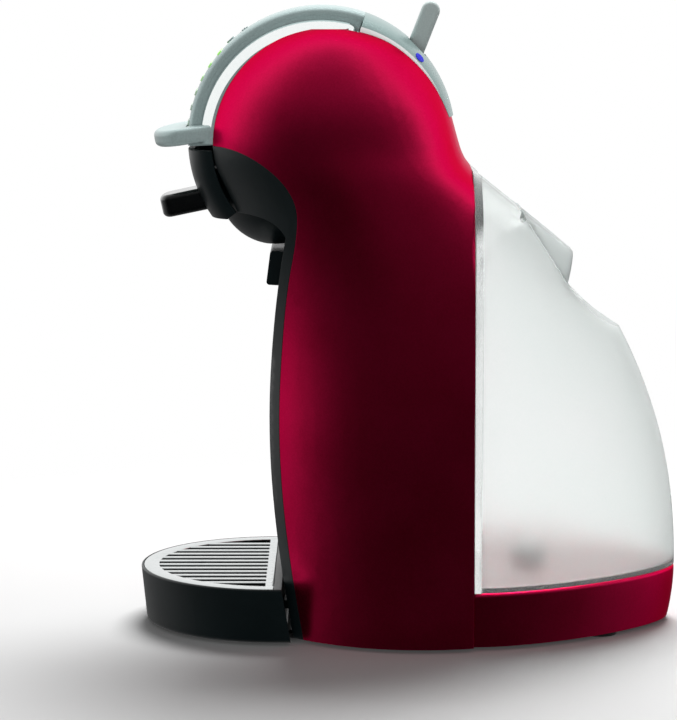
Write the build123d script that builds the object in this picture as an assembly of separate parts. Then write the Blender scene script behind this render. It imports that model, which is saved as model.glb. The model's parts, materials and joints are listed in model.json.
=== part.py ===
import math
import os
from build123d import *

# head disc, seen from the side: +Y is the rear, +Z is up, X runs across
head_y = -40.5
head_z = 227.0
arch_radius = 62.0
rim_radius = 50.0
band_half = 33.0
dome_y = -37.1
dome_z = 226.4
dome_rim = 52.9
spine_half = 19.0
spine_depth = 4.3
tail_angle = 11.0
step_angle = 71.0
foot_angle = 182.0

# barrel of the body
body_half = 78.0
body_middle = 5.0
body_front = -73.5
body_rear = 84.0
floor_gap = 2.0
waist_z = 100.0
neck_z = 213.0
nose_reach = 22.0
shoulder_drop = 53.5
neck_taper = 7.5
head_taper = 9.0
head_shift = 29.0
dome_stations = [(0, 59.9, 5.0, 0.76), (16, 55.4, 1.5, 0.7), (31, 49.4, 0, 0.6),
                 (42, 40.3, 0, 0.5523), (49, 28.2, 0, 0.5523), (52.3, 15.5, 0, 0.5523)]
wall = 2.5
rear_plane = 28.2
column_depth = 4.7
column_foot_y = -51.0

# tank and its seat
seat_top = 26.7
tank_rear = 126.0
tank_half = body_half - 5.0
tank_wall = 2.0
tank_front = 28.6
slope_y = 29.4
slope_z = 213.0
slope_angle = 38.6

# pod holder
pod_y = -62.0
cup_floor = 178.2
cup_top = 214.0
cup_radius = 29.5
outlet_radius = 5.0
tongue_thick = 10.4
tongue_half = 13.0

# locking handle and its crank
pivot_angle = 76.5
pivot_radius = 51.8
shaft_radius = 2.5
crank_reach = 10.0
crank_droop = 25.0
crank_pin = 1.8
arm_gap = 0.6
grip_tip = -118.3
grip_thick = 7.6

# controls
lever_lean = 21.5
lever_length = 45.0
lever_top_y = 11.4
lever_top_z = 290.3
lever_wide = 8.6
lever_thick = 7.0
wheel_angle = 125.0
wheel_radius = 4.6
wheel_centre = 58.0
wheel_half = 5.0
wheel_axle = 1.2
button_angle = 132.6
button_radius = 2.1
light_angle = 139.4
light_pitch = 6.6
light_count = 6
light_half = 14.0
light_sweep = 2.2
light_proud = 0.5

# drip tray
tray_middle = -62.0
tray_radius = 64.0
tray_top = 26.7
tray_floor = 1.2
tray_wall = 2.0
grid_rear = tray_middle - 0.4
slot_pitch = 8.3
slot_width = 4.5
grid_thick = 1.0

seat_gap = 0.3
run_gap = 0.05
head_axis = Axis((0, head_y, head_z), (1, 0, 0))


def block(x0, x1, y0, y1, z0, z1):
    return Pos((x0 + x1) / 2, (y0 + y1) / 2, (z0 + z1) / 2) * Box(x1 - x0, y1 - y0, z1 - z0)


def rod(start, end, radius):
    run = Vector(*end) - Vector(*start)
    bottom = (Align.CENTER, Align.CENTER, Align.MIN)
    return Plane(start, z_dir=run) * Cylinder(radius, run.length, align=bottom)


def side_block(edges, half=130):
    return extrude(Plane.YZ * make_face(edges), amount=half, both=True)


def twin(shape):
    return [shape, mirror(shape, Plane.YZ)]


def both_sides(shape):
    return shape + mirror(shape, Plane.YZ)


def head_point(angle, radius):
    a = math.radians(angle)
    return (head_y + radius * math.cos(a), head_z + radius * math.sin(a))


def head_plane(angle):
    a = math.radians(angle)
    return Plane((0, head_y, head_z), x_dir=(1, 0, 0), z_dir=(0, -math.sin(a), math.cos(a)))


def around_head(profile, start, end):
    return revolve(head_plane(start) * profile, head_axis, end - start)


def ring_piece(x0, x1, r0, r1, start, end):
    profile = Pos((x0 + x1) / 2, (r0 + r1) / 2) * Rectangle(x1 - x0, r1 - r0)
    return around_head(profile, start, end)


def oval(z, front, rear, half, middle, full=0.5523, inset=0.0):
    f, r, w = middle - front - inset, rear - middle - inset, half - inset
    k = 0.5523
    side = [
        Bezier((0, middle - f, z), (k * w, middle - f, z), (w, middle - k * f, z), (w, middle, z)),
        Bezier((w, middle, z), (w, middle + full * r, z), (full * w, middle + r, z), (0, middle + r, z)),
    ]
    return make_face(side + [mirror(e, Plane.YZ) for e in side])


def dome_oval(rise, rear, middle, full=0.5523, inset=0.0):
    at_rise = math.sqrt(1 - (rise / dome_rim) ** 2)
    half = band_half + (body_half - head_taper - band_half) * at_rise
    at_rim = math.sqrt(1 - (band_half / half) ** 2)
    reach = (middle - dome_y + dome_rim * at_rise) / at_rim
    return oval(dome_z + rise - inset * rise / dome_rim, middle - reach, rear, half, middle, full, inset)


def barrel_oval(z, inset=0.0):
    rise = max(0.0, (z - waist_z) / (neck_z - waist_z))
    front = body_front - nose_reach * rise**3
    rear = body_rear - shoulder_drop * rise**3
    half = body_half - neck_taper * rise**1.4
    middle = body_middle - head_shift * rise**2.5
    return oval(z, front, rear, half, middle, 0.5523 + 0.25 * rise**1.6, inset)


def body_form(inset=0.0):
    steps = 11
    start = floor_gap - 2 * inset
    forms = [barrel_oval(start + (neck_z - start) * i / steps, inset) for i in range(steps + 1)]
    for rise, rear, middle, full in dome_stations:
        forms.append(dome_oval(rise, dome_y + rear, dome_y + middle, full, inset))
    return loft(forms)


upper_line = [(-91, 225.8), (-78, 224.2), (-66, 218.2), (-56.5, 209.5), (-52, 201)]
lower_line = [(-51.2, 192), (-54.4, 170), (-58.2, 136), (-59.7, 106), (-58.2, 66), (-54.6, 36), (-48.3, 0)]


def behind_line():
    line = Spline(upper_line + lower_line)
    rear = Polyline(lower_line[-1], (rear_plane, 0), (rear_plane, 400), (-150, 400))
    rest = Polyline((-150, 400), (-150, 226.2), upper_line[0])
    return side_block([line, rear, rest])


def ahead_of_line():
    line = Spline(upper_line + lower_line)
    face = [(y - column_depth, z) for y, z in lower_line[1:]]
    front = Spline([(-56.4, 186)] + face)
    brow = Spline((-56.4, 186), (-61.5, 191.8), (-70, 195), (-84, 195.6))
    ends = Polyline(lower_line[-1], face[-1])
    rest = Polyline((-84, 195.6), (-150, 195.6), (-150, 226.2), upper_line[0])
    return side_block([line, ends, front, brow, rest])


outer = body_form()
inner = body_form(wall)
skin = outer - inner
channel = ring_piece(-band_half - seat_gap, band_half + seat_gap, 44, 90, step_angle, 245)
pivot = head_point(pivot_angle, pivot_radius)
droop = math.radians(crank_droop)
crank_end = (pivot[0] - crank_reach * math.cos(droop), pivot[1] - crank_reach * math.sin(droop))
lean = math.radians(lever_lean)
lever_root = (lever_top_y - lever_length * math.sin(lean), lever_top_z - lever_length * math.cos(lean))
lever_plane = Plane((0, *lever_root), x_dir=(1, 0, 0), z_dir=(0, math.sin(lean), math.cos(lean)))
lever_slot = lever_plane * block(-13.2, 13.2, -5.2, 5.2, 14, 60)
wheel_at = head_point(wheel_angle, wheel_centre)
post_x, post_y, post_radius = 33.6, -60.0, 3.0
feed_x, feed_y, feed_z, feed_radius = 14.0, -50.0, 246.0, 2.0


def side_shells():
    shell = (skin & behind_line()) - channel - lever_slot
    rib = ring_piece(band_half + seat_gap, band_half + 2.5, 43.5, 54, step_angle, foot_angle)
    right = (shell & block(0, 130, -150, 150, 0, 300)) + (rib & outer & behind_line())
    return twin(right)


def front_housing():
    region = ahead_of_line()
    plate = outer & region & block(-100, 100, -80, -40, 0, 184)
    ledge = (inner & block(-90, 90, -84, -50, 196, 198)) - behind_line()
    ledge -= block(-31, 31, -90, -40, 190, 200)
    body = (skin & region) + plate + ledge - channel
    body -= rod((0, -90, cup_floor + 25.2), (0, -40, cup_floor + 25.2), 26)
    for x in (-30, 30):
        body -= block(x - 6.3, x + 6.3, -80, -40, 11.7, 16.3)
    for x in (-40, 40):
        body -= column_foot(1.5, x)
    return body


def tray_hanger():
    edges = Polyline((-52, 160.2), (-66.2, 161), (-64.2, 176.6), (-52, 176.6), close=True)
    body = side_block([edges], 20) - ahead_of_line()
    body = body & block(-30, 30, -80, -56, 150, 180)
    return fillet(body.edges().filter_by(Axis.X).sort_by(Axis.Y)[:2], 1.5)


def cap_profile():
    r, s = arch_radius, spine_half
    round_edge = Bezier((s, r - spine_depth), (s, r - 1.5), (s - 2, r - 0.5), (s - 6, r - 0.3))
    top = ThreePointArc((s - 6, r - 0.3), (0, r), (6 - s, r - 0.3))
    inside = Polyline((-s, r - spine_depth), (2.6 - s, r - spine_depth), (2.6 - s, r - 2.6),
                      (s - 2.6, r - 2.6), (s - 2.6, r - spine_depth), (s, r - spine_depth))
    return make_face([round_edge, top, mirror(round_edge, Plane.YZ), inside])


def wide_profile(inset=0.0, depth=20.0):
    r, b = arch_radius - inset, band_half - inset
    edge = Bezier((0, r), (20, r), (b - 1.5, r - 2), (b, rim_radius))
    base = Polyline((b, rim_radius), (b, rim_radius - depth), (-b, rim_radius - depth), (-b, rim_radius))
    return make_face([edge, mirror(edge, Plane.YZ), base])


def light_bar(i):
    middle, r, w = light_angle + i * light_pitch, arch_radius, light_half
    top = ThreePointArc((-w, r + 0.2), (0, r + light_proud), (w, r + 0.2))
    base = Polyline((w, r + 0.2), (w, r - 3.2), (-w, r - 3.2), (-w, r + 0.2))
    return around_head(make_face([top, base]), middle - light_sweep / 2, middle + light_sweep / 2)


def mark_plug():
    middle, lean_out = Vector(22, 2.6, 263.9), Vector(0.8, 0.42, 0.43)
    return rod(middle - lean_out * 9, middle + lean_out * 9, 1.9)


def arch_parts():
    tail = around_head(wide_profile(), tail_angle, step_angle) - outer
    tail = tail.solids().sort_by(SortBy.VOLUME)[-1]
    plug = mark_plug()
    marks = twin(tail & plug)
    tail = tail - plug - mirror(plug, Plane.YZ) - lever_slot
    cap = around_head(cap_profile(), step_angle, foot_angle)
    cap -= rod((-wheel_half - 0.6, *wheel_at), (wheel_half + 0.6, *wheel_at), wheel_radius + 0.4)
    cap -= button_rod(button_radius + 0.25, 50, 70) + axle_rod()
    lights = [light_bar(i) for i in range(light_count)]
    for bar in lights:
        cap -= bar
    return cap, tail, Compound(children=lights), marks


def button_rod(radius, low, high):
    a, b = head_point(button_angle, low), head_point(button_angle, high)
    return rod((0, *a), (0, *b), radius)


def axle_rod():
    reach = spine_half - 0.8
    return rod((-reach, *wheel_at), (reach, *wheel_at), wheel_axle)


def head_frame():
    base = ring_piece(-band_half + 0.1, band_half - 0.1, 44.5, 47.3, step_angle + 0.3, foot_angle)
    under = arch_radius - spine_depth
    cheek = ring_piece(spine_half - 2.6, spine_half, 47.2, under, step_angle + 0.3, foot_angle)
    end = ring_piece(-band_half + 0.1, band_half - 0.1, 44.5, 53, step_angle + 0.3, step_angle + 1.2)
    foot = ring_piece(-spine_half, spine_half, 47.2, under, foot_angle - 2, foot_angle)
    body = base + both_sides(cheek) + end + foot
    body -= block(-8, 8, -46, -24, 255, 285)
    body -= rod((-40, *pivot), (40, *pivot), shaft_radius + run_gap)
    return body - axle_rod()


def setting_wheel():
    rim = Circle(wheel_radius) - PolarLocations(wheel_radius, 22) * Circle(0.35)
    body = extrude(Plane.YZ * (Pos(*wheel_at) * rim), amount=wheel_half, both=True)
    return body - rod((-20, *wheel_at), (20, *wheel_at), wheel_axle + run_gap)


def power_button():
    return button_rod(button_radius, 55.6, arch_radius + 0.7) + button_rod(button_radius + 0.5, 56.4, 58)


def button_switch():
    case = head_plane(button_angle) * block(-3.5, 3.5, 47.3, 52.5, -2.4, 2.4)
    return case + button_rod(1.2, 52, 54.4)


def locking_handle():
    s, b = spine_half + arm_gap, band_half - 0.4
    crest = Bezier((s, 55.6), (s + 8, 55.3), (b - 0.5, 54), (b, rim_radius + 0.4))
    foot = Polyline((b, rim_radius + 0.4), (b, 48), (s, 48), (s, 55.6))
    arm = around_head(make_face([crest, foot]), pivot_angle, 180.5)
    arm += rod((s, *pivot), (s + 5.5, *pivot), 3.3)
    grip_plane = Plane((0, -104, 229.8), x_dir=(1, 0, 0), z_dir=(0, -math.sin(0.157), math.cos(0.157)))
    reach = -104 - grip_tip
    edge = Bezier((b, -2), (b - 2, -10), (17, -reach), (0, -reach))
    rest = Polyline((b, -2), (b, 12.5), (-b, 12.5), (-b, -2))
    grip = extrude(make_face([edge, mirror(edge, Plane.YZ), rest]), amount=grip_thick / 2, both=True)
    grip = fillet(grip.edges().filter_by(lambda e: e.center().Y < 8 and abs(e.center().Z) > 3), 2.6)
    grip = grip_plane * grip
    grip -= ring_piece(-s, s, 20, arch_radius + 0.7, 150, 215)
    grip -= ring_piece(-60, 60, 20, 48, 150, 215)
    body = both_sides(arm) + grip
    return body - rod((-40, *pivot), (40, *pivot), shaft_radius)


def lock_crank():
    shape = make_hull((Pos(*pivot) * Circle(4)).edges() + (Pos(*crank_end) * Circle(3)).edges())
    body = extrude(Plane.YZ * shape, amount=2, both=True)
    body += rod((-31, *pivot), (31, *pivot), shaft_radius)
    return body + rod((-6.2, *crank_end), (6.2, *crank_end), crank_pin)


def injector_carriage():
    y, z = crank_end
    plate = block(-24, 24, -80, -33.4, 217, 221) + block(-38, 38, post_y - 6, post_y + 6, 217, 221)
    plate = fillet(plate.edges().filter_by(Axis.Z), 3)
    stem = block(-6, 6, y - 5.2, y + 3.8, 220, z + 3.6)
    stem -= block(-2.5, 2.5, y - 9, y + 9, z - 12, z + 9)
    stem -= block(-9, 9, y - 3, y + 2.1, z - crank_pin - 0.15, z + crank_pin + 0.15)
    body = plate + stem + rod((feed_x, feed_y, 220), (feed_x, feed_y, 229), 5)
    body -= rod((feed_x, feed_y, 219.4), (feed_x, feed_y, 232), feed_radius + 0.3)
    for x in (-post_x, post_x):
        body -= rod((x, post_y, 210), (x, post_y, 230), post_radius + run_gap)
    return body - rod((0, pod_y, 210), (0, pod_y, 219), 1.5)


def injector_needle():
    shank = rod((0, pod_y, 209.5), (0, pod_y, 219), 1.5)
    return shank + Pos(0, pod_y, 208) * Rot(180, 0, 0) * Cone(1.5, 0.4, 3)


def injector_seal():
    disc = rod((0, pod_y, 214.6), (0, pod_y, 217), 21) - rod((0, pod_y, 214), (0, pod_y, 215.4), 16)
    disc += rod((0, pod_y, 214.6), (0, pod_y, 217), 6)
    return disc - rod((0, pod_y, 210), (0, pod_y, 220), 1.5)


def brew_chassis():
    cheek = block(30.2, 37, -79, -28.5, 199, 216.5)
    cheek -= block(30, 32.8, -90, -31.5, 205.6, 208.9)
    rib = block(36.9, 80, -70, -66, 203, 212) + block(36.9, 80, -36, -32, 203, 212)
    body = both_sides((cheek + rib) & inner)
    body += block(-37, 37, -31.5, -28.5, 176, 216.5) + block(-25, 25, -31.5, -28.5, 216.5, 256)
    body += both_sides(block(10, 25, -31.5, -28.5, 250, 280))
    body -= ring_piece(-60, 60, 44.5, 90, 60, 120)
    for x in (-post_x, post_x):
        body -= rod((x, post_y, 209.5), (x, post_y, 220), post_radius)
    return body - rod((feed_x, -40, feed_z), (feed_x, -20, feed_z), feed_radius)


def guide_posts():
    posts = [rod((x, post_y, 209.5), (x, post_y, 238), post_radius) for x in (-post_x, post_x)]
    return Compound(children=posts)


def pod_holder():
    h, t = cup_floor, cup_top
    bowl = ThreePointArc((outlet_radius, h + 0.3), (15.5, h + 4.8), (23.4, h + 13.6))
    wall_out = Polyline((23.4, h + 13.6), (27.5, h + 20), (cup_radius, h + 24), (cup_radius, t),
                        (27.4, t), (27.4, t - 2), (25.2, t - 2), (21.5, h + 14.5))
    floor = ThreePointArc((21.5, h + 14.5), (14.2, h + 6.8), (outlet_radius, h + 2.5))
    profile = make_face([bowl, wall_out, floor, Line((outlet_radius, h + 2.5), (outlet_radius, h + 0.3))])
    cup = Pos(0, pod_y, 0) * revolve(Plane.XZ * profile, Axis.Z)
    flange = block(27.5, band_half - 0.6, -83, -36, 205.9, 208.6) - Pos(0, pod_y, 200) * Cylinder(28, 30)
    web = block(-14, 14, -104, -86, 196, 212) & around_head(wide_profile(2.8, 30), 170, 225)
    web -= Pos(0, pod_y, 205) * Cylinder(28.5, 40)
    body = cup + both_sides(flange) + web
    return body - block(-4, 4, pod_y, -20, 206, 220)


def holder_cover():
    body = around_head(wide_profile(0, 0.1), 183.6, 219) - around_head(wide_profile(2.8, 30), 180, 225)
    body = body & block(-50, 50, -150, 0, 192.2, 223.6)
    return body.solids().sort_by(SortBy.VOLUME)[-1]


def holder_handle():
    plane = Plane((0, -104, 198.2), x_dir=(1, 0, 0), z_dir=(0, -math.sin(0.21), math.cos(0.21)))
    w, r = tongue_half, 5.0
    edge = Bezier((w, r - 11.4), (w, r / 2 - 11.4), (w - r / 2, -11.4), (0, -11.4))
    rest = Polyline((w, r - 11.4), (w + 1, 16), (-w - 1, 16), (-w, r - 11.4))
    tongue = extrude(make_face([edge, mirror(edge, Plane.YZ), rest]), amount=tongue_thick / 2, both=True)
    tongue = fillet(tongue.edges().filter_by(lambda e: e.center().Y < 10 and abs(e.center().Z) > 4), 2.4)
    return plane * tongue - around_head(wide_profile(0, 30), 170, 230)


def selector_lever():
    shape = Pos(0, lever_length / 2 - 2) * SlotOverall(lever_length + 4, lever_wide, rotation=90)
    body = extrude(Plane.YZ * shape, amount=lever_thick / 2, both=True)
    body = fillet(body.edges().filter_by(lambda e: abs(abs(e.center().X) - lever_thick / 2) < 0.01), 2.2)
    body += rod((0, -5, 0), (0, 5, 0), 5)
    return lever_plane * (body - rod((0, -9, 0), (0, 9, 0), 2 + run_gap))


def lever_pin():
    return lever_plane * rod((0, -9.6, 0), (0, 9.6, 0), 2)


def selector_valve():
    ears = block(-7, 7, 5.4, 9.6, -16, 5) + block(-7, 7, -9.6, -5.4, -16, 5)
    case = block(-14, 14, -12, 12, -26, -10)
    body = lever_plane * (ears + case - rod((0, -12, 0), (0, 12, 0), 2))
    body += block(-18, 18, -28.5, -17, 226, 250)
    return body - rod((feed_x, -40, feed_z), (feed_x, -23, feed_z), feed_radius) - hot_hose()


def feed_tube():
    path = FilletPolyline((feed_x, -23, feed_z), (feed_x, feed_y, feed_z), (feed_x, feed_y, 228.8), radius=5)
    return sweep(Plane(path @ 0, z_dir=path % 0) * Circle(feed_radius), path=path)


def dee(z, front, rear, half, lead=0):
    run = rear - front
    side = Bezier((half, front, z), (half, front + 0.35 * run, z), (0.38 * half, rear, z), (0, rear, z))
    base = Line((half, front, z), (-half, front, z))
    if lead > 0:
        foot = front - lead
        base = Polyline((half, front, z), (half, foot, z), (-half, foot, z), (-half, front, z))
    return make_face([side, mirror(side, Plane.YZ), base])


def tank_form(inset=0.0, base=seat_top + seat_gap):
    forms = []
    for i in range(9):
        z = base + (214 - base) * i / 8
        rise = (z - seat_top) / 148.7
        forms.append(dee(z, tank_front + 1.5 * inset, tank_rear - 50 * max(rise, 0) ** 2.2 - inset,
                         tank_half - 3 * rise**2 - inset))
    a = math.radians(slope_angle)
    plane = Plane((0, slope_y, slope_z), x_dir=(1, 0, 0), z_dir=(0, -math.cos(a), math.sin(a)))
    bow = [(0, 0), (30, -0.6), (50, -4.5), (62, -12)]
    crest = Spline([(x, drop - inset) for x, drop in bow] + [(69.5 - inset, -26)])
    sides = Polyline((69.5 - inset, -26), (74 - inset, -50), (74 - inset, -260), (inset - 74, -260),
                     (inset - 74, -50), (inset - 69.5, -26))
    crown = extrude(plane * make_face([crest, mirror(crest, Plane.YZ), sides]), amount=200, both=True)
    return loft(forms) & crown


lid_front = (51.7, 194.5)
lid_low = (72.0, 163.1)
lid_tip = (76.8, 175.7)
tank_corner = (100.2, 138.8)


def lid_block(shift=0.0):
    (ay, az), (cy, cz), (ty, tz) = lid_front, lid_low, lid_tip
    dy, dz = (cy - ay) / math.hypot(cy - ay, cz - az), (cz - az) / math.hypot(cy - ay, cz - az)
    corners = [(ay - 9 * dy, az - 9 * dz), (cy, cz), (ty, tz), (ty + 8, tz + 16), (60, 240)]
    outline = Polyline(corners, close=True)
    return Pos(0, shift * dz, -shift * dy) * side_block([outline], 90)


def scoop_block(grow=0.0):
    (cy, cz), (ty, tz), (ky, kz) = lid_low, lid_tip, tank_corner
    curve = ThreePointArc((cy, cz), (cy + 12.6, cz - 14.6), (ky, kz))
    rest = Polyline((ky, kz), (ky + 20, kz - 8), (ky + 20, tz + 10), (ty + 3, tz + 8), (ty, tz), (cy, cz))
    return Pos(0, -grow, -0.6 * grow) * side_block([curve, rest], 90)


a_slope = math.radians(slope_angle)
hinge = (lid_front[0] - 1.2 * math.sin(a_slope), lid_front[1] - 1.2 * math.cos(a_slope))
valve_y = 57.0


def hinge_rod(x0, x1, radius):
    return rod((x0, *hinge), (x1, *hinge), radius)


def tank_parts():
    full = tank_form() - scoop_block()
    hollow = tank_form(tank_wall, seat_top + seat_gap + tank_wall) - scoop_block(tank_wall)
    shell = full - hollow
    flange = (tank_form(-0.8) & block(-90, 90, tank_front, tank_front + 3.4, 0, 300)) - hollow
    body = shell + flange - lid_block(0.3) - lid_block()
    body = body - hinge_rod(-90, 90, 1.7) - both_sides(hinge_rod(9.9, 20.3, 2.4))
    body = body.solids().sort_by(SortBy.VOLUME)[-1]
    body += hinge_rod(-9.6, 9.6, 2)
    body -= hinge_rod(-25, 25, 0.9)
    body -= Pos(0, valve_y, seat_top) * Cylinder(5, 12)
    lid = (shell & lid_block()) - hinge_rod(-9.9, 9.9, 2.4)
    lid = lid.solids().sort_by(SortBy.VOLUME)[-1]
    lid += both_sides(hinge_rod(10, 20, 2))
    lid -= hinge_rod(-25, 25, 0.9 + run_gap)
    return body, lid, hinge_rod(-20, 20, 0.9)


def tank_valve():
    z = seat_top + seat_gap
    body = Pos(0, valve_y, z - 4.5) * Cylinder(4.6, 9, align=(Align.CENTER, Align.CENTER, Align.MIN))
    body += Pos(0, valve_y, z) * Cylinder(5, 2, align=(Align.CENTER, Align.CENTER, Align.MIN))
    body += Pos(0, valve_y, z + 2) * Cylinder(7.5, 5, align=(Align.CENTER, Align.CENTER, Align.MIN))
    return body - Pos(0, valve_y, z) * Cylinder(2.2, 40)


def seat_form(inset, low, high, lead=0):
    forms = []
    for i in range(4):
        z = low + (high - low) * i / 3
        sink = (seat_top - z) / seat_top
        rear, half = tank_rear - 3.4 * sink**2 - inset, tank_half - 1.2 * sink - inset
        forms.append(dee(z, rear_plane + 0.2, rear, half, lead))
    return loft(forms)


def tank_seat():
    body = seat_form(0, floor_gap, seat_top)
    body = fillet(body.edges().group_by(Axis.Z)[-1].sort_by(SortBy.LENGTH)[-2:], 1.6)
    body -= seat_form(wall, floor_gap - 4, seat_top - 3, 6)
    body -= Pos(0, valve_y, seat_top) * Cylinder(8, 12)
    body -= gland_rod(-12, 14, 5)
    return body


def tank_socket():
    z = seat_top
    up = (Align.CENTER, Align.CENTER, Align.MIN)
    body = Pos(0, valve_y, z - 10) * Cylinder(8, 9.6, align=up)
    body += Pos(0, valve_y, z - 10) * Cylinder(10, 6.9, align=up)
    body -= Pos(0, valve_y, z - 6) * Cylinder(5.2, 20, align=up)
    return body - Pos(0, valve_y, z - 12) * Cylinder(2.5, 20, align=up)


def socket_seal():
    ring = Pos(0, valve_y, seat_top - 5.4) * Cylinder(5.2, 0.8)
    return ring - Pos(0, valve_y, seat_top - 5.4) * Cylinder(3.2, 4)


def gland_rod(start, end, radius):
    middle, outward = Vector(10 - tank_half, 60, 13), Vector(-0.987, 0.16, 0)
    return rod(middle + outward * start, middle + outward * end, radius)


def cable_gland():
    return gland_rod(-6, 6, 5) + gland_rod(-8.5, -6, 6.5) - gland_rod(-12, 14, 3)


def base_plate():
    z0, z1 = floor_gap, floor_gap + 3
    body = inner & behind_line() & block(-90, 90, -80, rear_plane, z0, z1)
    body += seat_form(wall + 0.2, z0, z1, 1)
    for x in range(-40, 41, 8):
        body -= block(x - 1.5, x + 1.5, 40, 70 - abs(x) * 0.3, 0, 9)
    for x, y in foot_spots():
        body -= Pos(x, y, z0) * Cylinder(4, 20)
    for x in (-32, 32):
        post = block(x - 4, x + 4, -24, 8, z1, 40)
        body += post - rod((x - 9, -8, 38), (x + 9, -8, 38), 12)
    return body


def foot_spots():
    return [(-48, -36), (48, -36), (-34, 88), (34, 88)]


def column_foot(radius, x):
    return rod((x, column_foot_y, 0), (x, column_foot_y, floor_gap + 5), radius)


def rubber_feet():
    up = (Align.CENTER, Align.CENTER, Align.MIN)
    foot = Cylinder(8, floor_gap, align=up) + Cylinder(4, floor_gap + 3, align=up)
    feet = [Pos(x, y, 0) * foot for x, y in foot_spots()]
    for x in (-40, 40):
        feet.append(Pos(x, column_foot_y, 0) * Cylinder(5.2, floor_gap, align=up) + column_foot(1.5, x))
    return Compound(children=feet)


def rear_wall():
    body = inner & block(-90, 90, rear_plane - 2.7, rear_plane, floor_gap + 3.1, 230)
    for x, z in ((-28, 90), (28, 90), (-28, 128), (28, 128)):
        body += rod((x, 4, z), (x, rear_plane - 2, z), 4)
    for x, z in ((-34, 156), (34, 156), (-34, 194), (34, 194)):
        body += rod((x, 20.6, z), (x, rear_plane - 2, z), 3)
    return body - rod((0, 20, 10), (0, 40, 10), 2.6)


def pump_coil():
    body = fillet(block(-20, 20, -26, 10, 20, 56).edges(), 3)
    return body - rod((-30, -8, 38), (30, -8, 38), 8)


def pump_barrel():
    body = rod((-44, -8, 38), (44, -8, 38), 8)
    return body - rod((38, -8, 38), (50, -8, 38), 2.5) - rod((-50, -8, 38), (-38, -8, 38), 2.5)


def pump_mounts():
    barrel = rod((-50, -8, 38), (50, -8, 38), 8)
    rings = [rod((x - 4, -8, 38), (x + 4, -8, 38), 12) - barrel for x in (-32, 32)]
    return Compound(children=rings)


def thermoblock():
    body = fillet(block(-38, 38, -28, 4, 78, 140).edges().filter_by(Axis.Y), 12)
    for z in (92, 109, 126):
        body += rod((-34, -28, z), (34, -28, z), 4.5)
    body -= rod((-24, -8, 70), (-24, -8, 86), 2.5)
    return body - rod((10, -13, 132), (10, -13, 150), 2.5)


def thermostats():
    return Compound(children=[rod((x, -40, 109), (x, -32.5, 109), 6) for x in (-18, 18)])


def control_board():
    body = block(-40, 40, 19, 20.6, 150, 200)
    chips = [(-22, 176, 18, 14, 12), (2, 184, 14, 10, 9), (24, 172, 16, 20, 14), (-4, 162, 22, 6, 5)]
    for x, z, w, h, d in chips:
        body += block(x - w / 2, x + w / 2, 19 - d, 19.1, z - h / 2, z + h / 2)
    return body


def hose(points, radius=2.5):
    path = FilletPolyline(*points, radius=6)
    return sweep(Plane(path @ 0, z_dir=path % 0) * Circle(radius), path=path)


def inlet_hose():
    under_seat = [(0, valve_y, 20), (0, valve_y, 10), (0, 16, 10), (56, 16, 10)]
    return hose(under_seat + [(56, -8, 10), (56, -8, 38), (38, -8, 38)])


def pressure_hose():
    return hose([(-38, -8, 38), (-56, -8, 38), (-56, -8, 66), (-24, -8, 66), (-24, -8, 86)])


def hot_hose():
    return rod((10, -13, 132), (10, -13, 227), 2.5)


def half_disc(radius, low, high, top_radius):
    flat = tray_middle + 3.0
    lower = Pos(0, tray_middle, low) * Circle(radius)
    upper = Pos(0, tray_middle, high) * Circle(top_radius)
    return loft([lower, upper]) & block(-90, 90, -150, flat, low, high)


def drip_tray():
    body = half_disc(tray_radius - 2.6, tray_floor, tray_top, tray_radius)
    body = fillet(body.edges().group_by(Axis.Z)[0].sort_by(SortBy.LENGTH)[-1:], 2.4)
    body = fillet(body.edges().group_by(Axis.Z)[-1].sort_by(SortBy.LENGTH)[-1:], 0.8)
    inside = tray_radius - tray_wall
    basin = half_disc(inside - 2.6, tray_floor + tray_wall, tray_top + 1, inside + 0.1)
    rebate = half_disc(tray_radius - 1.1, tray_top - grid_thick - 0.2, tray_top + 1, tray_radius - 0.9)
    body -= basin & block(-90, 90, -150, grid_rear - 0.6, 0, 60)
    body -= rebate & block(-90, 90, -150, grid_rear + seat_gap, 0, 60)
    for x in (-30, 30):
        body += block(x - 6, x + 6, tray_middle + 2.5, -50, 12, 16)
    return body


def drip_grid():
    plate = half_disc(tray_radius - 1.4, tray_top - grid_thick, tray_top, tray_radius - 1.3)
    plate = plate & block(-90, 90, -150, grid_rear, 0, 60)
    rows = int((tray_radius - 14) / slot_pitch)
    for i in range(-rows, rows + 1):
        x = i * slot_pitch
        reach = math.sqrt((tray_radius - 9) ** 2 - x**2)
        plate -= block(x - slot_width / 2, x + slot_width / 2, tray_middle - reach, tray_middle - 4, 0, 60)
    return fillet(plate.edges().group_by(Axis.Z)[-1].filter_by(GeomType.CIRCLE), 0.5)


parts = {}
parts["right_side_shell"], parts["left_side_shell"] = side_shells()
parts["front_housing"] = front_housing()
parts["tray_hanger"] = tray_hanger()
parts["arch"], parts["arch_tail"], parts["level_lights"], marks = arch_parts()
parts["cold_mark"], parts["hot_mark"] = marks
parts["head_frame"] = head_frame()
parts["setting_wheel"] = setting_wheel()
parts["wheel_axle"] = axle_rod()
parts["power_button"] = power_button()
parts["button_switch"] = button_switch()
parts["locking_handle"] = locking_handle()
parts["lock_crank"] = lock_crank()
parts["injector_carriage"] = injector_carriage()
parts["injector_needle"] = injector_needle()
parts["injector_seal"] = injector_seal()
parts["brew_chassis"] = brew_chassis()
parts["guide_posts"] = guide_posts()
parts["pod_holder"] = pod_holder()
parts["holder_cover"] = holder_cover()
parts["holder_handle"] = holder_handle()
parts["selector_lever"] = selector_lever()
parts["lever_pin"] = lever_pin()
parts["selector_valve"] = selector_valve()
parts["feed_tube"] = feed_tube()
parts["water_tank"], parts["tank_lid"], parts["lid_pin"] = tank_parts()
parts["tank_valve"] = tank_valve()
parts["tank_seat"] = tank_seat()
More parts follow.
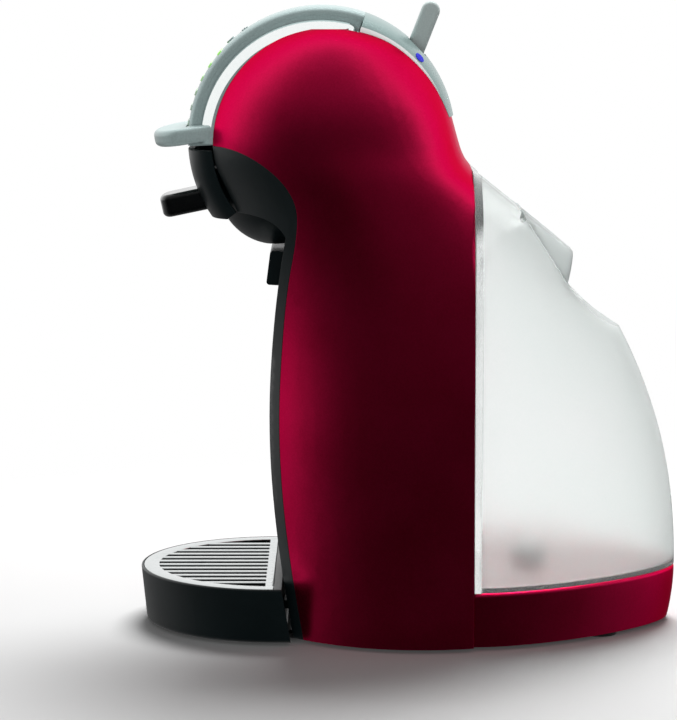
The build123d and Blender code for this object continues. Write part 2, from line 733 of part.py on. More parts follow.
parts["tank_socket"] = tank_socket()
parts["socket_seal"] = socket_seal()
parts["cable_gland"] = cable_gland()
parts["base_plate"] = base_plate()
parts["rubber_feet"] = rubber_feet()
parts["rear_wall"] = rear_wall()
parts["pump_coil"] = pump_coil()
parts["pump_barrel"] = pump_barrel()
parts["pump_mounts"] = pump_mounts()
parts["thermoblock"] = thermoblock()
parts["thermostats"] = thermostats()
parts["control_board"] = control_board()
parts["inlet_hose"] = inlet_hose()
parts["pressure_hose"] = pressure_hose()
parts["hot_hose"] = hot_hose()
parts["drip_tray"] = drip_tray()
parts["drip_grid"] = drip_grid()

os.makedirs("parts", exist_ok=True)
for name, shape in parts.items():
    print(name, len(shape.solids()), round(shape.volume), shape.is_valid)
    export_step(shape, f"parts/{name}.step")
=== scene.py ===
import json
import math

import bmesh
import bpy
from mathutils import Matrix, Vector

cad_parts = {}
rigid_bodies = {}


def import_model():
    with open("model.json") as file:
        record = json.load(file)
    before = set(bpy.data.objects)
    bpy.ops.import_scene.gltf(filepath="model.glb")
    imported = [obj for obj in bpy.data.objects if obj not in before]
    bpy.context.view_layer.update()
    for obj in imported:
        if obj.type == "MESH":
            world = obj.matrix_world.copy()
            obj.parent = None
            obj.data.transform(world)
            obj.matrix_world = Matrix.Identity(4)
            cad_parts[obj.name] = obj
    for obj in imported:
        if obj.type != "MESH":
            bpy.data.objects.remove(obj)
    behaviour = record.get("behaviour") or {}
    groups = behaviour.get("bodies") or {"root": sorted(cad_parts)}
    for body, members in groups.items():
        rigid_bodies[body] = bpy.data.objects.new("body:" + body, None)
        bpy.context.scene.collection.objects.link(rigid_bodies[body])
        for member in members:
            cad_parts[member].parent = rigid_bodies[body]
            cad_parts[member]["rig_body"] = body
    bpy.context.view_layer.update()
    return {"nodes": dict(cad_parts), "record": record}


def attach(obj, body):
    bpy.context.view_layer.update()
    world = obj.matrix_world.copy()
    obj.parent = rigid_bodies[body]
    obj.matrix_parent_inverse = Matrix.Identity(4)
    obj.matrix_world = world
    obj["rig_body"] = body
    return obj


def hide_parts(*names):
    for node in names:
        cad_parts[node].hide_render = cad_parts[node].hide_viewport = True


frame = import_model()
nodes = frame["nodes"]
slotOf = {part["node"]: part["material_slot"] for part in frame["record"]["subparts"]}
bothSides = (1, -1)                     # right, then left
scene = bpy.context.scene
scene.view_settings.view_transform = "Standard"
print("stage: frame loaded,", len(nodes), "nodes")


def linear(code):                       # sRGB hex to linear colour
    parts = [int(code[i:i + 2], 16) / 255 for i in (1, 3, 5)]
    return tuple(c / 12.92 if c <= 0.04045 else ((c + 0.055) / 1.055) ** 2.4 for c in parts) + (1.0,)


def addNode(tree, kind, links=None, values=None, **settings):
    node = tree.nodes.new(kind)
    for name, value in settings.items():
        setattr(node, name, value)
    for name, value in (values or {}).items():
        node.inputs[name].default_value = value
    for name, socket in (links or {}).items():
        tree.links.new(socket, node.inputs[name])
    return node


# finishes: hex colours, sizes in mm, roughness as (low, high); flake and mould grain are really finer than
# a pixel, so they are drawn at about a millimetre, as coarse as they need to show
finishes = {
    # sprayed metallic lacquer on moulded ABS: fine flake, deep red face on and bright towards the edges
    "metallicLacquerRed": dict(light="#E41C56", dark="#D4164A", metallic=0.98, rough=(0.28, 0.34),
                               grain=0.9, bump=0.005, edge=0.4, edgeTint="#EC86A0"),
    # sprayed silver lacquer on moulded ABS: fine flake, satin
    "metallicLacquerSilver": dict(light="#C1D5D4", dark="#AFC3C2", metallic=0.4, rough=(0.3, 0.4),
                                  grain=0.8, bump=0.005, coat=0.15, coatRough=0.3, edge=0.4),
    # the same lacquer drawn lighter, as painted light
    "paintedLightSilver": dict(light="#D6E2E0", dark="#C6D4D2", metallic=0.3, rough=(0.3, 0.4), grain=0.8,
                       bump=0.002, coat=0.15, coatRough=0.3),
    # the same lacquer drawn darker as painted shade, with a painted white highlight where it meets the red
    "edgedSilver": dict(light="#9FB6B4", dark="#8FA6A4", metallic=0.5, rough=(0.3, 0.4), grain=0.8,
                        bump=0.005, coat=0.15, coatRough=0.3, edge=0.4,
                        # band: a painted white highlight, not metal
                        band=dict(centre=(0, -0.0371, 0.2264), radius=0.0552, blur=0.0002,
                                  colour="#FFFFFF", metallic=0.0)),
    # buffed silver lacquer: a clean mirror of the room
    "buffedSilver": dict(light="#F6FAF9", dark="#EEF3F2", metallic=1.0, rough=(0.16, 0.22), grain=1.5,
                         bump=0.002),
    # moulded black ABS with a spark-eroded grain: a soft dull sheen
    "mouldedBlackAbs": dict(light="#10191B", dark="#0A1112", metallic=0.0, rough=(0.3, 0.4), grain=0.8,
                            bump=0.015, edge=0.5),
    # tool-polished black ABS: sharp highlights
    "polishedBlackAbs": dict(light="#0A0C0D", dark="#060708", metallic=0.0, rough=(0.1, 0.2), grain=2.5,
                             bump=0.004, coat=0.3, coatRough=0.08, edge=0.5),
    # moulded grey nylon, slightly chalky
    "mouldedGreyNylon": dict(light="#A2A6A6", dark="#8F9494", metallic=0.0, rough=(0.45, 0.6), grain=0.7,
                             bump=0.02),
    # nickel-chrome plate on steel: bright, with a thin dark line at each edge
    "chromePlate": dict(light="#DADEDE", dark="#CDD2D2", metallic=1.0, rough=(0.08, 0.16), grain=3.0,
                        bump=0.002, edge=0.25),
    # drawn stainless steel: fine lines one way
    "drawnSteel": dict(light="#B5B7B9", dark="#9EA1A3", metallic=1.0, rough=(0.25, 0.38), grain=0.6,
                       bump=0.006, stretch=12),
    # drawn brass, a little dulled
    "drawnBrass": dict(light="#C9A55A", dark="#A98642", metallic=1.0, rough=(0.25, 0.4), grain=0.8,
                       bump=0.006),
    # die-cast aluminium, shot blasted: matt and pitted
    "castAluminium": dict(light="#B9BBBC", dark="#989B9D", metallic=0.9, rough=(0.45, 0.62), grain=0.8,
                          bump=0.04),
    # vulcanised rubber, matt with a bloom
    "blackRubber": dict(light="#1C1C1C", dark="#131313", metallic=0.0, rough=(0.65, 0.8), grain=0.9,
                        bump=0.03),
    # extruded silicone rubber: milky, lets some light through
    "siliconeRubber": dict(light="#C9CECC", dark="#B9C0BE", metallic=0.0, rough=(0.35, 0.5), grain=1.2,
                           bump=0.01, through=0.35),
    # solder-masked glass epoxy
    "epoxyBoard": dict(light="#14532B", dark="#0D3D1F", metallic=0.0, rough=(0.25, 0.4), grain=1.5,
                       bump=0.01),
    # moulded SAN, etched in the tool so that it scatters what is behind it; its rim colour is painted shade
    # on walls seen edge-on
    "etchedSan": dict(light="#FFFFFF", dark="#F8FBFA", metallic=0.0, rough=(0.36, 0.42), grain=1.2,
                      bump=0.001, through=0.98, ior=1.28, rim="#D2DEDA"),
    # the same, in the thicker lid, with a darker rim colour as painted shade
    "greySan": dict(light="#F4F8F7", dark="#ECF2F1", metallic=0.0, rough=(0.32, 0.38), grain=1.2,
                    bump=0.001, through=0.96, ior=1.45, rim="#93A3A0"),
    # the same, polished in the tool: clear
    "clearSan": dict(light="#FBFEFD", dark="#F4F8F7", metallic=0.0, rough=(0.06, 0.12), grain=4.0,
                     bump=0.002, through=0.9, ior=1.56),
    # pad-printed dots: flat, even ink
    "blueInk": dict(light="#0408E0", dark="#0206CC", metallic=0.0, rough=(0.45, 0.55), grain=1.0,
                    bump=0.003),
    "redInk": dict(light="#D81414", dark="#C00E0E", metallic=0.0, rough=(0.2, 0.3), grain=1.0, bump=0.003),
    # tinted acrylic light guides, lit from behind; glow heights in metres
    "litAcrylic": dict(light="#C9DCCB", dark="#B9CFBC", metallic=0.0, rough=(0.2, 0.3), grain=1.5,
                       bump=0.003, glow="#8CE02E", glowLow=0.247, glowHigh=0.268, glowMost=0.55),
}
# what they share: under the grain, a drift in tone about 36 mm across
common = dict(drift=1000 / 28, driftDetail=3.0, grainDetail=2.0, grainRough=0.55, toneLow=0.7, toneHigh=1.3,
              bumpStrength=0.35, bevelRays=4, rimBlend=0.2)
plainSockets = {"metallic": "Metallic", "coat": "Coat Weight", "coatRough": "Coat Roughness",
                "through": "Transmission Weight", "ior": "IOR"}
colourA, colourB, colourOut = 6, 7, 2   # the colour sockets of a Mix node


def makeFinish(name, look):
    material = bpy.data.materials.new(name)
    material.use_nodes = True
    tree = material.node_tree
    shader = tree.nodes["Principled BSDF"]
    where = addNode(tree, "ShaderNodeTexCoord").outputs["Object"]
    if "stretch" in look:               # drawn lines run along X
        where = addNode(tree, "ShaderNodeMapping", {"Vector": where},
                        {"Scale": (1 / look["stretch"], 1, 1)}).outputs[0]
    grain = addNode(tree, "ShaderNodeTexNoise", {"Vector": where},
                    {"Scale": 1000 / look["grain"], "Detail": common["grainDetail"],
                     "Roughness": common["grainRough"]})
    drift = addNode(tree, "ShaderNodeTexNoise", {"Vector": where},
                    {"Scale": 1000 / common["drift"], "Detail": common["driftDetail"]})
    mixed = addNode(tree, "ShaderNodeMath", {0: grain.outputs["Fac"], 1: drift.outputs["Fac"]},
                    operation="ADD")
    tone = addNode(tree, "ShaderNodeMapRange", {"Value": mixed.outputs[0]},
                   {"From Min": common["toneLow"], "From Max": common["toneHigh"]})
    colour = addNode(tree, "ShaderNodeMix", {"Factor": tone.outputs[0]},
                     {colourA: linear(look["dark"]), colourB: linear(look["light"])}, data_type="RGBA")
    rough = addNode(tree, "ShaderNodeMapRange", {"Value": tone.outputs[0]},
                    {"To Min": look["rough"][0], "To Max": look["rough"][1]})
    bump = addNode(tree, "ShaderNodeBump", {"Height": grain.outputs["Fac"]},
                   {"Strength": common["bumpStrength"], "Distance": look["bump"] / 1000})
    if "edge" in look:                  # the small radius that a mould leaves on every edge
        radius = addNode(tree, "ShaderNodeBevel", values={"Radius": look["edge"] / 1000},
                         samples=common["bevelRays"])
        tree.links.new(radius.outputs[0], bump.inputs["Normal"])
    tree.links.new(rough.outputs[0], shader.inputs["Roughness"])
    tree.links.new(bump.outputs[0], shader.inputs["Normal"])
    for key, socket in plainSockets.items():
        if key in look:
            shader.inputs[socket].default_value = look[key]
    if "edgeTint" in look:
        shader.inputs["Specular Tint"].default_value = linear(look["edgeTint"])

    second = share = None               # a second colour, and where it lies over the first
    if "rim" in look:                   # painted shade: a wall seen edge-on is drawn towards the darker rim colour
        facing = addNode(tree, "ShaderNodeLayerWeight", values={"Blend": common["rimBlend"]})
        second, share = look["rim"], facing.outputs["Facing"]
    if "glow" in look:                  # the upper lights are on, the lower ones fade out
        height = addNode(tree, "ShaderNodeSeparateXYZ", {"Vector": where})
        lit = addNode(tree, "ShaderNodeMapRange", {"Value": height.outputs["Z"]},
                      {"From Min": look["glowLow"], "From Max": look["glowHigh"], "To Max": look["glowMost"]})
        shader.inputs["Emission Color"].default_value = linear(look["glow"])
        tree.links.new(lit.outputs[0], shader.inputs["Emission Strength"])
        second, share = look["glow"], lit.outputs[0]
    if "band" in look:                  # a painted highlight colour on all that lies within a radius of an axis along X
        band = look["band"]
        offset = addNode(tree, "ShaderNodeVectorMath", {0: where}, {1: band["centre"]}, operation="SUBTRACT")
        flat = addNode(tree, "ShaderNodeVectorMath", {0: offset.outputs[0]}, {1: (0, 1, 1)},
                       operation="MULTIPLY")
        far = addNode(tree, "ShaderNodeVectorMath", {0: flat.outputs[0]}, operation="LENGTH")
        inside = addNode(tree, "ShaderNodeMapRange", {"Value": far.outputs["Value"]},
                         {"From Min": band["radius"] - band["blur"],
                          "From Max": band["radius"] + band["blur"], "To Min": 1.0, "To Max": 0.0})
        metal = addNode(tree, "ShaderNodeMapRange", {"Value": inside.outputs[0]},
                        {"To Min": look["metallic"], "To Max": band["metallic"]})
        tree.links.new(metal.outputs[0], shader.inputs["Metallic"])
        second, share = band["colour"], inside.outputs[0]
    if second:
        colour = addNode(tree, "ShaderNodeMix", {"Factor": share, colourA: colour.outputs[colourOut]},
                         {colourB: linear(second)}, data_type="RGBA")
    tree.links.new(colour.outputs[colourOut], shader.inputs["Base Color"])
    return material


materials = {name: makeFinish(name, look) for name, look in finishes.items()}
print("stage:", len(materials), "finishes made")

# which finish each node wears, by its slot in the record, and the few that differ
slotFinish = {"red_shell": "metallicLacquerRed", "black_plastic": "mouldedBlackAbs",
              "silver_plastic": "metallicLacquerSilver", "grey_plastic": "mouldedGreyNylon",
              "frosted_plastic": "etchedSan", "green_light": "litAcrylic", "blue_mark": "blueInk",
              "red_mark": "redInk", "steel": "drawnSteel", "black_rubber": "blackRubber",
              "brass": "drawnBrass", "cast_aluminium": "castAluminium", "board_green": "epoxyBoard",
              "clear_hose": "siliconeRubber", "chrome": "chromePlate"}
nodeFinish = {"holder_handle": "polishedBlackAbs", "selector_lever": "paintedLightSilver",
              "arch_tail": "edgedSilver", "tank_lid": "greySan", "lid_pin": "etchedSan"}
meshing = dict(merge=2e-6, onPlane=1e-6, onFlat=1e-5, sharpAngle=32)  # metres, and degrees


def cutAlong(form, point, normal):      # a clean line where the shape or the finish changes
    parts = form.verts[:] + form.edges[:] + form.faces[:]
    bmesh.ops.bisect_plane(form, geom=parts, plane_co=point, plane_no=normal, dist=meshing["onPlane"])


def shadeByAngle(mesh, cuts=(), edit=None):
    form = bmesh.new()
    form.from_mesh(mesh)
    bmesh.ops.remove_doubles(form, verts=form.verts, dist=meshing["merge"])
    if edit:
        edit(form)
    for point, normal in cuts:
        cutAlong(form, point, normal)
    for face in form.faces:
        face.smooth = True
    sharp = math.radians(meshing["sharpAngle"])
    for edge in form.edges:
        edge.smooth = len(edge.link_faces) == 2 and edge.calc_face_angle(0) < sharp
    form.to_mesh(mesh)
    form.free()


def standFor(piece, name):              # ride with a node's body and hide the node, standing in its place
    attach(piece, nodes[name]["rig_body"])
    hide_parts(name)


def smoothCopy(name, cuts=(), edit=None):  # a merged, shaded copy that stands for a node
    source = nodes[name].data
    mesh = bpy.data.meshes.new(name + "Skin")
    mesh.from_pydata([v.co for v in source.vertices], [], [list(p.vertices) for p in source.polygons])
    shadeByAngle(mesh, cuts, edit)
    piece = bpy.data.objects.new(name + "Skin", mesh)
    scene.collection.objects.link(piece)
    mesh.materials.append(materials[nodeFinish.get(name, slotFinish[slotOf[name]])])
    weighted = piece.modifiers.new("evenShade", "WEIGHTED_NORMAL")
    weighted.keep_sharp = True
    standFor(piece, name)
    return piece


# the tank's front flange and foot rim are left clear by the etching
clearEdge = dict(flangeY=0.0321, rimZ=0.0296)
cutsOf = {"water_tank": [((0, clearEdge["flangeY"], 0), (0, 1, 0)), ((0, 0, clearEdge["rimZ"]), (0, 0, 1))]}

# the handle's arms have a buffed flat that falls to the red rim, and a round nose at the pivot
armFlat = dict(axis=Vector((0, -0.0405, 0.227)), innerX=0.026, innerRadius=0.0552, outerX=0.0326,
               outerRadius=0.0506, reach=0.0565, lastAngle=174, lastZ=0.0057, leastOutwards=0.5)
armNose = dict(y=-0.02841, z=0.27737, radius=0.0033, extra=0.001, sides=40)


def flatRadius(x):
    share = (abs(x) - armFlat["innerX"]) / (armFlat["outerX"] - armFlat["innerX"])
    return armFlat["innerRadius"] + (armFlat["outerRadius"] - armFlat["innerRadius"]) * share


def buffArms(form):
    for side in bothSides:              # the flats start on a clean line
        cutAlong(form, (side * armFlat["innerX"], 0, 0), (1, 0, 0))
    length = armFlat["outerX"] - armFlat["innerX"] + armNose["extra"]
    lying = Matrix.Rotation(math.pi / 2, 4, "Y")
    for side in bothSides:
        middle = side * (armFlat["outerX"] - length / 2)
        place = Matrix.Translation((middle, armNose["y"], armNose["z"]))
        bmesh.ops.create_cone(form, cap_ends=True, segments=armNose["sides"], radius1=armNose["radius"],
                              radius2=armNose["radius"], depth=length, matrix=place @ lying)
    for vert in form.verts:
        arm = vert.co - armFlat["axis"]
        radius = math.hypot(arm.y, arm.z)
        angle = math.degrees(math.atan2(arm.z, arm.y)) % 360
        inReach = radius < armFlat["reach"] and angle < armFlat["lastAngle"]
        if inReach and abs(arm.x) > armFlat["innerX"] and radius > flatRadius(arm.x):
            shrink = flatRadius(arm.x) / radius
            vert.co = armFlat["axis"] + Vector((arm.x, arm.y * shrink, arm.z * shrink))


def shortenShaft(form):                 # its ends stay under the buffed flats
    for vert in form.verts:
        vert.co.x = max(-armFlat["innerX"], min(armFlat["innerX"], vert.co.x))


# the tray's back leans with the column, most at its ends, outside the feet, so that hardly any light
# shows between them
trayBack = dict(flatY=-0.059, topZ=0.0267, topShift=0.0004, footShift=0.0024, endX=0.05, endShift=0.0048)


def leanTrayBack(form):
    for side in bothSides:
        cutAlong(form, (side * trayBack["endX"], 0, 0), (1, 0, 0))
    for vert in form.verts:
        if abs(vert.co.y - trayBack["flatY"]) < meshing["onFlat"]:
            drop = 1 - vert.co.z / trayBack["topZ"]
            atEnd = abs(vert.co.x) > trayBack["endX"] + meshing["onFlat"]
            foot = trayBack["endShift"] if atEnd else trayBack["footShift"]
            vert.co.y += trayBack["topShift"] + (foot - trayBack["topShift"]) * drop


markGrowth = 1.3                        # ink spreads a little past its recess


def growMark(form):
    middle = sum((vert.co for vert in form.verts), Vector()) / len(form.verts)
    for vert in form.verts:
        vert.co = middle + (vert.co - middle) * markGrowth


editOf = {"locking_handle": buffArms, "lock_crank": shortenShaft, "drip_tray": leanTrayBack,
          "cold_mark": growMark, "hot_mark": growMark}
skins = {name: smoothCopy(name, cutsOf.get(name, ()), editOf.get(name))
         for name in nodes if name != "drip_grid"}  # the grid has its own tree below
handleMesh = skins["locking_handle"].data
handleMesh.materials.append(materials["buffedSilver"])
for face in handleMesh.polygons:
    arm = face.center - armFlat["axis"]
    radius = math.hypot(arm.y, arm.z)
    outwards = (face.normal.y * arm.y + face.normal.z * arm.z) / radius
    onArm = abs(arm.x) > armFlat["innerX"] and radius < armFlat["reach"] and arm.z > armFlat["lastZ"]
    if onArm and outwards > armFlat["leastOutwards"]:
        face.material_index = 1
tankMesh = skins["water_tank"].data
tankMesh.materials.append(materials["clearSan"])
for face in tankMesh.polygons:
    if face.center.y < clearEdge["flangeY"] or face.center.z < clearEdge["rimZ"]:
        face.material_index = 1
print("stage:", len(skins), "skins made")


def newTree(name, inputs):              # an empty node tree with named inputs
    tree = bpy.data.node_groups.new(name, "GeometryNodeTree")
    tree.interface.new_socket("Geometry", in_out="INPUT", socket_type="NodeSocketGeometry")
    for label in inputs:
        tree.interface.new_socket(label, in_out="INPUT", socket_type="NodeSocketFloat")
    tree.interface.new_socket("Geometry", in_out="OUTPUT", socket_type="NodeSocketGeometry")
    return tree, addNode(tree, "NodeGroupInput").outputs


def closeTree(tree, shape, finish):     # every tree ends in Realize Instances and Set Material
    solid = addNode(tree, "GeometryNodeRealizeInstances", {"Geometry": shape})
    dressed = addNode(tree, "GeometryNodeSetMaterial", {"Geometry": solid.outputs[0]},
                      {"Material": materials[finish]})
    addNode(tree, "NodeGroupOutput", {"Geometry": dressed.outputs[0]})


def bakeTree(tree, name, sizes, points):  # run a tree on a few points and keep the plain mesh
    seed = bpy.data.meshes.new(name + "Seed")
    seed.from_pydata(points, [], [])
    piece = bpy.data.objects.new(name, seed)
    scene.collection.objects.link(piece)
    maker = piece.modifiers.new("maker", "NODES")
    maker.node_group = tree
    for socket in tree.interface.items_tree:
        if socket.in_out == "INPUT" and socket.name in sizes:
            maker[socket.identifier] = sizes[socket.name]
    made = bpy.data.meshes.new_from_object(piece.evaluated_get(bpy.context.evaluated_depsgraph_get()))
    piece.modifiers.remove(maker)
    piece.data = made
    shadeByAngle(made)
    print("stage:", name, len(made.polygons), "faces")
    return piece


# drip grid: round-edged slats between a half ring and a rear bar, all in one sheet's thickness; the slats
# and the bar are a little thinner than the ring, so that their ends stay inside it
gridSizes = {"Pitch": 0.0083, "Slat Width": 0.0038, "Thickness": 0.001, "Ring Radius": 0.0591,
             "Ring Width": 0.0072, "Rear Bar": 0.0038}
gridPlace = dict(slats=12, slatShare=0.8, slatStart=-0.03, rearShare=0.9, middleY=-0.062, rearY=-0.0624,
                 topZ=0.0267, edgeRadius=0.00035, edgeSteps=3, ringStart=0.0068, ringPoints=64)
tree, given = newTree("dripGridTree", gridSizes)


def flatBar(path, width, share):        # a bar with rounded edges along a path
    height = addNode(tree, "ShaderNodeMath", {0: given["Thickness"]}, {1: share}, operation="MULTIPLY")
    outline = addNode(tree, "GeometryNodeCurvePrimitiveQuadrilateral",
                      {"Width": width, "Height": height.outputs[0]})
    rounded = addNode(tree, "GeometryNodeFilletCurve", {"Curve": outline.outputs[0]},
                      {"Radius": gridPlace["edgeRadius"], "Count": gridPlace["edgeSteps"]}, mode="POLY")
    level = addNode(tree, "GeometryNodeSetCurveNormal", {"Curve": path}, mode="Z_UP")
    bar = addNode(tree, "GeometryNodeCurveToMesh",
                  {"Curve": level.outputs[0], "Profile Curve": rounded.outputs[0]}, {"Fill Caps": True})
    return bar.outputs[0]


# a slat of length 1 at each point, scaled to reach the ring: the root of radius squared less x squared
position = addNode(tree, "GeometryNodeInputPosition")
place = addNode(tree, "ShaderNodeSeparateXYZ", {"Vector": position.outputs[0]})
square = addNode(tree, "ShaderNodeMath", {0: place.outputs["X"], 1: place.outputs["X"]},
                 operation="MULTIPLY")
ringSquare = addNode(tree, "ShaderNodeMath", {0: given["Ring Radius"], 1: given["Ring Radius"]},
                     operation="MULTIPLY")
left = addNode(tree, "ShaderNodeMath", {0: ringSquare.outputs[0], 1: square.outputs[0]},
               operation="SUBTRACT")
reach = addNode(tree, "ShaderNodeMath", {0: left.outputs[0]}, operation="SQRT")
stretch = addNode(tree, "ShaderNodeCombineXYZ", {"Y": reach.outputs[0]}, {"X": 1.0, "Z": 1.0})
run = addNode(tree, "GeometryNodeCurvePrimitiveLine",
              values={"Start": (0, gridPlace["slatStart"], 0), "End": (0, -1, 0)})
runs = addNode(tree, "GeometryNodeInstanceOnPoints",
               {"Points": given["Geometry"], "Instance": run.outputs[0], "Scale": stretch.outputs[0]})
lines = addNode(tree, "GeometryNodeRealizeInstances", {"Geometry": runs.outputs[0]})
ring = addNode(tree, "GeometryNodeCurveArc", {"Radius": given["Ring Radius"]},
               {"Resolution": gridPlace["ringPoints"], "Start Angle": math.pi + gridPlace["ringStart"],
                "Sweep Angle": math.pi - 2 * gridPlace["ringStart"]})
rearMiddle = addNode(tree, "ShaderNodeMath", {0: given["Rear Bar"]}, {1: -0.5}, operation="MULTIPLY")
rearY = addNode(tree, "ShaderNodeMath", {0: rearMiddle.outputs[0]},
                {1: gridPlace["rearY"] - gridPlace["middleY"]}, operation="ADD")
rearEnd = addNode(tree, "ShaderNodeCombineXYZ", {"X": given["Ring Radius"], "Y": rearY.outputs[0]})
rearStart = addNode(tree, "ShaderNodeVectorMath", {0: rearEnd.outputs[0]}, {1: (-1, 1, 1)},
                    operation="MULTIPLY")
rear = addNode(tree, "GeometryNodeCurvePrimitiveLine",
               {"Start": rearStart.outputs[0], "End": rearEnd.outputs[0]})
bars = addNode(tree, "GeometryNodeJoinGeometry")
for path, width, share in ((lines, "Slat Width", gridPlace["slatShare"]), (ring, "Ring Width", 1.0),
                           (rear, "Rear Bar", gridPlace["rearShare"])):
    tree.links.new(flatBar(path.outputs[0], given[width], share), bars.inputs[0])
lift = gridPlace["topZ"] - gridSizes["Thickness"] / 2
placed = addNode(tree, "GeometryNodeTransform", {"Geometry": bars.outputs[0]},
                 {"Translation": (0, gridPlace["middleY"], lift)})
closeTree(tree, placed.outputs[0], "chromePlate")
slatPoints = [((i - (gridPlace["slats"] - 1) / 2) * gridSizes["Pitch"], 0, 0)
              for i in range(gridPlace["slats"])]
dripGrid = bakeTree(tree, "dripGridSlats", gridSizes, slatPoints)
standFor(dripGrid, "drip_grid")

# base screws: flat heads with a cross recess, up against the underside of the base plate
screwSizes = {"Head Radius": 0.0031, "Head Height": 0.0012, "Cross Width": 0.0009, "Cross Depth": 0.0007}
screwPlace = dict(spots=[(0.062, 0.006), (0.03, -0.034), (0.022, 0.1)], faceZ=0.002, sides=28,
                  crossReach=1.2)       # the cross's length in head radii
tree, given = newTree("baseScrewTree", screwSizes)
head = addNode(tree, "GeometryNodeMeshCylinder",
               {"Radius": given["Head Radius"], "Depth": given["Head Height"]},
               {"Vertices": screwPlace["sides"]})
span = addNode(tree, "ShaderNodeMath", {0: given["Head Radius"]}, {1: screwPlace["crossReach"]},
               operation="MULTIPLY")
deep = addNode(tree, "ShaderNodeMath", {0: given["Cross Depth"]}, {1: 2.0}, operation="MULTIPLY")
low = addNode(tree, "ShaderNodeMath", {0: given["Head Height"]}, {1: -0.5}, operation="MULTIPLY")
under = addNode(tree, "ShaderNodeCombineXYZ", {"Z": low.outputs[0]})
cross = addNode(tree, "GeometryNodeMeshBoolean", {"Mesh 1": head.outputs[0]}, operation="DIFFERENCE")
for across, along in ((span.outputs[0], given["Cross Width"]), (given["Cross Width"], span.outputs[0])):
    size = addNode(tree, "ShaderNodeCombineXYZ", {"X": across, "Y": along, "Z": deep.outputs[0]})
    cutter = addNode(tree, "GeometryNodeMeshCube", {"Size": size.outputs[0]})
    moved = addNode(tree, "GeometryNodeTransform",
                    {"Geometry": cutter.outputs[0], "Translation": under.outputs[0]})
    tree.links.new(moved.outputs[0], cross.inputs["Mesh 2"])
screws = addNode(tree, "GeometryNodeInstanceOnPoints",
                 {"Points": given["Geometry"], "Instance": cross.outputs[0]})
closeTree(tree, screws.outputs[0], "drawnSteel")
screwZ = screwPlace["faceZ"] - screwSizes["Head Height"] / 2
screwPoints = [(side * x, y, screwZ) for x, y in screwPlace["spots"] for side in bothSides]
baseScrews = bakeTree(tree, "baseScrews", screwSizes, screwPoints)
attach(baseScrews, nodes["base_plate"]["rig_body"])

# floor: round paper that fades into a white room
paperFloor = dict(colour="#DADADA", rough=0.7, gloss=0.1, radius=0.6, sides=64, fadeStart=0.2, fadeEnd=0.46)
floorMesh = bpy.data.meshes.new("floor")
turns = [math.tau * i / paperFloor["sides"] for i in range(paperFloor["sides"])]
floorRim = [(paperFloor["radius"] * math.cos(turn), paperFloor["radius"] * math.sin(turn), 0)
            for turn in turns]
floorMesh.from_pydata(floorRim, [], [tuple(range(paperFloor["sides"]))])
paper = bpy.data.materials.new("paperFloor")
paper.use_nodes = True
tree = paper.node_tree
shader = tree.nodes["Principled BSDF"]
shader.inputs["Base Color"].default_value = linear(paperFloor["colour"])
shader.inputs["Roughness"].default_value = paperFloor["rough"]
shader.inputs["Specular IOR Level"].default_value = paperFloor["gloss"]
where = addNode(tree, "ShaderNodeTexCoord").outputs["Object"]
away = addNode(tree, "ShaderNodeVectorMath", {0: where}, operation="LENGTH")
fade = addNode(tree, "ShaderNodeMapRange", {"Value": away.outputs["Value"]},
               {"From Min": paperFloor["fadeStart"], "From Max": paperFloor["fadeEnd"], "To Min": 1.0,
                "To Max": 0.0}, interpolation_type="SMOOTHSTEP")
tree.links.new(fade.outputs[0], shader.inputs["Alpha"])
floorMesh.materials.append(paper)
floor = bpy.data.objects.new("floor", floorMesh)
scene.collection.objects.link(floor)
floor.visible_glossy = False            # the lacquer mirrors the room, not the paper

# the room is white to the eye and through clear plastic; what mirrors it sees it dim on the right and
# below, and it gives plain surfaces a soft even light
room = dict(colour="#FFFFFF", soft=0.13, dim=0.035, rise=0.58, bend=2.8, lowZ=-0.2, levelZ=-0.02,
            lowShare=0.22, highZ=0.6, highGain=0.17)
world = bpy.data.worlds.new("studioWorld")
scene.world = world
world.use_nodes = True
world.cycles.sampling_method = "NONE"   # so that each kind of ray sees its own level
tree = world.node_tree
wall = tree.nodes["Background"]
wall.inputs["Color"].default_value = linear(room["colour"])
around = addNode(tree, "ShaderNodeTexCoord").outputs["Generated"]
across = addNode(tree, "ShaderNodeSeparateXYZ", {"Vector": around})
turned = addNode(tree, "ShaderNodeMath", {1: across.outputs["X"]}, {0: 1.0}, operation="SUBTRACT")
curve = addNode(tree, "ShaderNodeMath", {0: turned.outputs[0]}, {1: room["bend"]}, operation="POWER")
sides = addNode(tree, "ShaderNodeMath", {0: curve.outputs[0]}, {1: room["rise"], 2: room["dim"]},
                operation="MULTIPLY_ADD", use_clamp=True)
below = addNode(tree, "ShaderNodeMapRange", {"Value": across.outputs["Z"]},
                {"From Min": room["lowZ"], "From Max": room["levelZ"], "To Min": room["lowShare"],
                 "To Max": 1.0})
above = addNode(tree, "ShaderNodeMapRange", {"Value": across.outputs["Z"]},
                {"From Min": 0.0, "From Max": room["highZ"], "To Min": 0.0, "To Max": room["highGain"]})
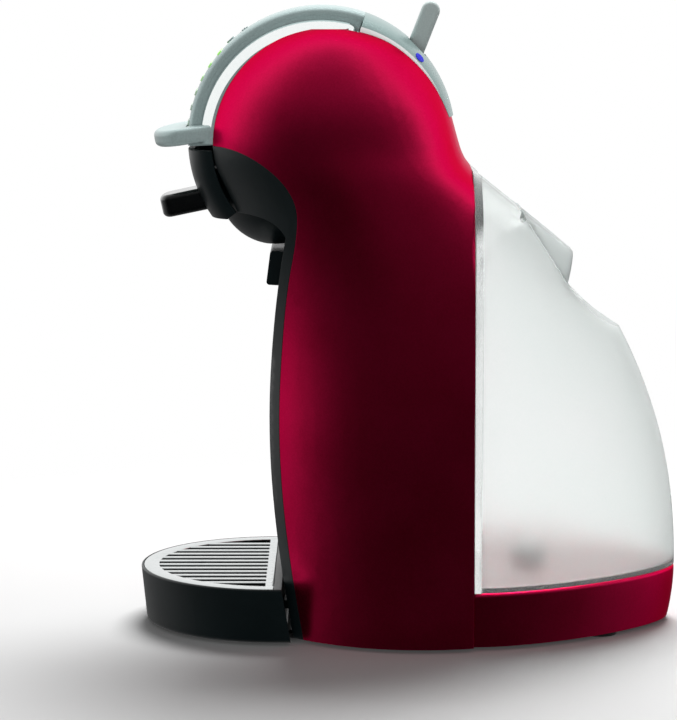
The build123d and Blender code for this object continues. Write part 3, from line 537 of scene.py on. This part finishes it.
mirror = addNode(tree, "ShaderNodeMath",
                 {0: sides.outputs[0], 1: below.outputs[0], 2: above.outputs[0]},
                 operation="MULTIPLY_ADD", use_clamp=True)
rays = addNode(tree, "ShaderNodeLightPath").outputs
lit = addNode(tree, "ShaderNodeMix", {"Factor": rays["Is Glossy Ray"], "B": mirror.outputs[0]},
              {"A": room["soft"]})
shown = addNode(tree, "ShaderNodeMath", {0: rays["Is Camera Ray"], 1: rays["Is Transmission Ray"]},
                operation="MAXIMUM")
level = addNode(tree, "ShaderNodeMath", {0: lit.outputs[0], 1: shown.outputs[0]}, operation="MAXIMUM")
tree.links.new(level.outputs[0], wall.inputs["Strength"])

# softboxes: the key hangs high on the left, so that the shadow falls to the right, towards the camera
softboxes = {
    "keyBox": dict(at=(-0.6, 0.12, 1.2), aim=(0.05, 0, 0.05), size=(0.7, 0.7), power=27),
    "fillBox": dict(at=(1.9, -0.15, 0.3), aim=(0, -0.03, 0.2), size=(1.2, 0.4), power=16),
}
for name, box in softboxes.items():
    lamp = bpy.data.lights.new(name, "AREA")
    lamp.shape = "RECTANGLE"
    lamp.size, lamp.size_y = box["size"]
    lamp.energy = box["power"]
    light = bpy.data.objects.new(name, lamp)
    light.location = box["at"]
    towards = Vector(box["aim"]) - Vector(box["at"])
    light.rotation_euler = towards.to_track_quat("-Z", "Y").to_euler()
    light.visible_glossy = False        # the room alone is mirrored
    scene.collection.objects.link(light)

# the photograph's view: from the right, just above the top, looking a little down
view = dict(at=(1.430, -0.032754, 0.318), down=7.757, focalPixels=3073.2, longSide=720, sensor=36,
            clip=(0.05, 30))
camera = bpy.data.objects.new("camera", bpy.data.cameras.new("camera"))
camera.location = view["at"]
camera.rotation_euler = (math.radians(90 - view["down"]), 0, math.radians(90))
camera.data.sensor_width = view["sensor"]
camera.data.lens = view["sensor"] * view["focalPixels"] / view["longSide"]
camera.data.clip_start, camera.data.clip_end = view["clip"]
scene.collection.objects.link(camera)
scene.camera = camera
print("stage: studio ready")
